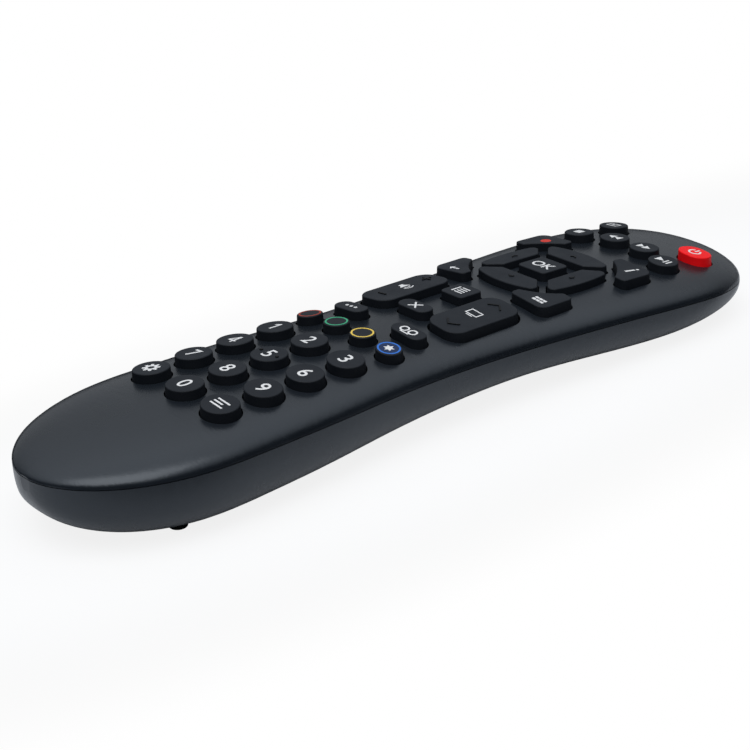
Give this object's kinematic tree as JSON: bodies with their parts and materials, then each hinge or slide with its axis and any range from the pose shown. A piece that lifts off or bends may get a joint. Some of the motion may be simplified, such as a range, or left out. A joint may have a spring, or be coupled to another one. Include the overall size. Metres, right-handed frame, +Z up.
{
  "type": "tv box remote control",
  "caption": "Waisted hand-held remote control with rubber keys, two rockers, a direction pad and a hinged battery cover.",
  "frame": {"origin": "on the surface that the remote rests on, under the middle of its box", "axes": "+Y out of the emitter end, +Z up through the keys, +X to the right when the remote is held with the emitter end away"},
  "size_m": [0.0616, 0.2232, 0.0268],
  "materials": {
    "housing_plastic": "soft-touch charcoal, fine matt texture",
    "window_plastic": "glossy near-black, passes infrared",
    "key_rubber": "matt near-black silicone rubber",
    "red_rubber": "matt red silicone rubber",
    "foot_rubber": "matt black rubber",
    "cell_steel": "satin dark sleeve, bare",
    "board_laminate": "green solder mask",
    "component_black": "black moulded packages",
    "emitter_clear": "clear bluish epoxy",
    "contact_nickel": "nickel-plated spring steel",
    "screw_steel": "zinc-plated"
  },
  "bodies": {
    "housing": {"upper_housing": "housing_plastic", "lower_housing": "housing_plastic", "emitter_window": "window_plastic", "cell_left": "cell_steel", "cell_right": "cell_steel", "rubber_feet": "foot_rubber", "keypad_mat": "key_rubber", "circuit_board": "board_laminate", "controller_chip": "component_black", "board_components": "component_black", "infrared_emitter": "emitter_clear", "battery_contacts": "contact_nickel", "housing_screws": "screw_steel"},
    "cover": {"battery_cover": "housing_plastic"},
    "key_power_body": {"key_power": "red_rubber"},
    "key_source_body": {"key_source": "key_rubber"},
    "key_rewind_body": {"key_rewind": "key_rubber"},
    "key_forward_body": {"key_forward": "key_rubber"},
    "key_stop_body": {"key_stop": "key_rubber"},
    "key_play_pause_body": {"key_play_pause": "key_rubber"},
    "key_ok_body": {"key_ok": "key_rubber"},
    "key_up_body": {"key_up": "key_rubber"},
    "key_left_body": {"key_left": "key_rubber"},
    "key_down_body": {"key_down": "key_rubber"},
    "key_right_body": {"key_right": "key_rubber"},
    "key_record_body": {"key_record": "key_rubber"},
    "key_info_body": {"key_info": "key_rubber"},
    "key_back_body": {"key_back": "key_rubber"},
    "key_guide_body": {"key_guide": "key_rubber"},
    "key_menu_body": {"key_menu": "key_rubber"},
    "volume_rocker_body": {"volume_rocker": "key_rubber"},
    "channel_rocker_body": {"channel_rocker": "key_rubber"},
    "key_exit_body": {"key_exit": "key_rubber"},
    "key_options_body": {"key_options": "key_rubber"},
    "key_recordings_body": {"key_recordings": "key_rubber"},
    "key_red_body": {"key_red": "key_rubber"},
    "key_green_body": {"key_green": "key_rubber"},
    "key_yellow_body": {"key_yellow": "key_rubber"},
    "key_blue_body": {"key_blue": "key_rubber"},
    "key_settings_body": {"key_settings": "key_rubber"},
    "key_0_body": {"key_0": "key_rubber"},
    "key_text_body": {"key_text": "key_rubber"},
    "key_7_body": {"key_7": "key_rubber"},
    "key_8_body": {"key_8": "key_rubber"},
    "key_9_body": {"key_9": "key_rubber"},
    "key_4_body": {"key_4": "key_rubber"},
    "key_5_body": {"key_5": "key_rubber"},
    "key_6_body": {"key_6": "key_rubber"},
    "key_1_body": {"key_1": "key_rubber"},
    "key_2_body": {"key_2": "key_rubber"},
    "key_3_body": {"key_3": "key_rubber"}
  },
  "joints": [
    {"name": "battery_cover_hinge", "type": "hinge", "parent": "housing", "child": "cover", "pos_m": [0, -0.03475, 0.00172], "axis": [1, 0, 0], "range_deg": [0, 40]},
    {"name": "key_power_press", "type": "slide", "parent": "housing", "child": "key_power_body", "axis": [0, 0, -1], "range_m": [0, 0.0008], "stiffness_N_per_m": 1500},
    {"name": "key_source_press", "type": "slide", "parent": "housing", "child": "key_source_body", "axis": [0, 0, -1], "range_m": [0, 0.0008], "stiffness_N_per_m": 1500},
    {"name": "key_rewind_press", "type": "slide", "parent": "housing", "child": "key_rewind_body", "axis": [0, 0, -1], "range_m": [0, 0.0008], "stiffness_N_per_m": 1500},
    {"name": "key_forward_press", "type": "slide", "parent": "housing", "child": "key_forward_body", "axis": [0, 0, -1], "range_m": [0, 0.0008], "stiffness_N_per_m": 1500},
    {"name": "key_stop_press", "type": "slide", "parent": "housing", "child": "key_stop_body", "axis": [0, 0, -1], "range_m": [0, 0.0008], "stiffness_N_per_m": 1500},
    {"name": "key_play_pause_press", "type": "slide", "parent": "housing", "child": "key_play_pause_body", "axis": [0, 0, -1], "range_m": [0, 0.0008], "stiffness_N_per_m": 1500},
    {"name": "key_ok_press", "type": "slide", "parent": "housing", "child": "key_ok_body", "axis": [0, 0, -1], "range_m": [0, 0.0008], "stiffness_N_per_m": 1500},
    {"name": "key_up_press", "type": "slide", "parent": "housing", "child": "key_up_body", "axis": [0, 0, -1], "range_m": [0, 0.0008], "stiffness_N_per_m": 1500},
    {"name": "key_left_press", "type": "slide", "parent": "housing", "child": "key_left_body", "axis": [0, 0, -1], "range_m": [0, 0.0008], "stiffness_N_per_m": 1500},
    {"name": "key_down_press", "type": "slide", "parent": "housing", "child": "key_down_body", "axis": [0, 0, -1], "range_m": [0, 0.0008], "stiffness_N_per_m": 1500},
    {"name": "key_right_press", "type": "slide", "parent": "housing", "child": "key_right_body", "axis": [0, 0, -1], "range_m": [0, 0.0008], "stiffness_N_per_m": 1500},
    {"name": "key_record_press", "type": "slide", "parent": "housing", "child": "key_record_body", "axis": [0, 0, -1], "range_m": [0, 0.0008], "stiffness_N_per_m": 1500},
    {"name": "key_info_press", "type": "slide", "parent": "housing", "child": "key_info_body", "axis": [0, 0, -1], "range_m": [0, 0.0008], "stiffness_N_per_m": 1500},
    {"name": "key_back_press", "type": "slide", "parent": "housing", "child": "key_back_body", "axis": [0, 0, -1], "range_m": [0, 0.0008], "stiffness_N_per_m": 1500},
    {"name": "key_guide_press", "type": "slide", "parent": "housing", "child": "key_guide_body", "axis": [0, 0, -1], "range_m": [0, 0.0008], "stiffness_N_per_m": 1500},
    {"name": "key_menu_press", "type": "slide", "parent": "housing", "child": "key_menu_body", "axis": [0, 0, -1], "range_m": [0, 0.0008], "stiffness_N_per_m": 1500},
    {"name": "volume_rocker_tilt", "type": "hinge", "parent": "housing", "child": "volume_rocker_body", "pos_m": [-0.0133, 0.0134, 0.01544], "axis": [1, 0, 0], "range_deg": [-3, 3], "stiffness_Nm_per_rad": 0.4},
    {"name": "channel_rocker_tilt", "type": "hinge", "parent": "housing", "child": "channel_rocker_body", "pos_m": [0.0133, 0.0134, 0.01544], "axis": [1, 0, 0], "range_deg": [-3, 3], "stiffness_Nm_per_rad": 0.4},
    {"name": "key_exit_press", "type": "slide", "parent": "housing", "child": "key_exit_body", "axis": [0, 0, -1], "range_m": [0, 0.0008], "stiffness_N_per_m": 1500},
    {"name": "key_options_press", "type": "slide", "parent": "housing", "child": "key_options_body", "axis": [0, 0, -1], "range_m": [0, 0.0008], "stiffness_N_per_m": 1500},
    {"name": "key_recordings_press", "type": "slide", "parent": "housing", "child": "key_recordings_body", "axis": [0, 0, -1], "range_m": [0, 0.0008], "stiffness_N_per_m": 1500},
    {"name": "key_red_press", "type": "slide", "parent": "housing", "child": "key_red_body", "axis": [0, 0, -1], "range_m": [0, 0.0008], "stiffness_N_per_m": 1500},
    {"name": "key_green_press", "type": "slide", "parent": "housing", "child": "key_green_body", "axis": [0, 0, -1], "range_m": [0, 0.0008], "stiffness_N_per_m": 1500},
    {"name": "key_yellow_press", "type": "slide", "parent": "housing", "child": "key_yellow_body", "axis": [0, 0, -1], "range_m": [0, 0.0008], "stiffness_N_per_m": 1500},
    {"name": "key_blue_press", "type": "slide", "parent": "housing", "child": "key_blue_body", "axis": [0, 0, -1], "range_m": [0, 0.0008], "stiffness_N_per_m": 1500},
    {"name": "key_settings_press", "type": "slide", "parent": "housing", "child": "key_settings_body", "axis": [0, 0, -1], "range_m": [0, 0.0008], "stiffness_N_per_m": 1500},
    {"name": "key_0_press", "type": "slide", "parent": "housing", "child": "key_0_body", "axis": [0, 0, -1], "range_m": [0, 0.0008], "stiffness_N_per_m": 1500},
    {"name": "key_text_press", "type": "slide", "parent": "housing", "child": "key_text_body", "axis": [0, 0, -1], "range_m": [0, 0.0008], "stiffness_N_per_m": 1500},
    {"name": "key_7_press", "type": "slide", "parent": "housing", "child": "key_7_body", "axis": [0, 0, -1], "range_m": [0, 0.0008], "stiffness_N_per_m": 1500},
    {"name": "key_8_press", "type": "slide", "parent": "housing", "child": "key_8_body", "axis": [0, 0, -1], "range_m": [0, 0.0008], "stiffness_N_per_m": 1500},
    {"name": "key_9_press", "type": "slide", "parent": "housing", "child": "key_9_body", "axis": [0, 0, -1], "range_m": [0, 0.0008], "stiffness_N_per_m": 1500},
    {"name": "key_4_press", "type": "slide", "parent": "housing", "child": "key_4_body", "axis": [0, 0, -1], "range_m": [0, 0.0008], "stiffness_N_per_m": 1500},
    {"name": "key_5_press", "type": "slide", "parent": "housing", "child": "key_5_body", "axis": [0, 0, -1], "range_m": [0, 0.0008], "stiffness_N_per_m": 1500},
    {"name": "key_6_press", "type": "slide", "parent": "housing", "child": "key_6_body", "axis": [0, 0, -1], "range_m": [0, 0.0008], "stiffness_N_per_m": 1500},
    {"name": "key_1_press", "type": "slide", "parent": "housing", "child": "key_1_body", "axis": [0, 0, -1], "range_m": [0, 0.0008], "stiffness_N_per_m": 1500},
    {"name": "key_2_press", "type": "slide", "parent": "housing", "child": "key_2_body", "axis": [0, 0, -1], "range_m": [0, 0.0008], "stiffness_N_per_m": 1500},
    {"name": "key_3_press", "type": "slide", "parent": "housing", "child": "key_3_body", "axis": [0, 0, -1], "range_m": [0, 0.0008], "stiffness_N_per_m": 1500}
  ]
}
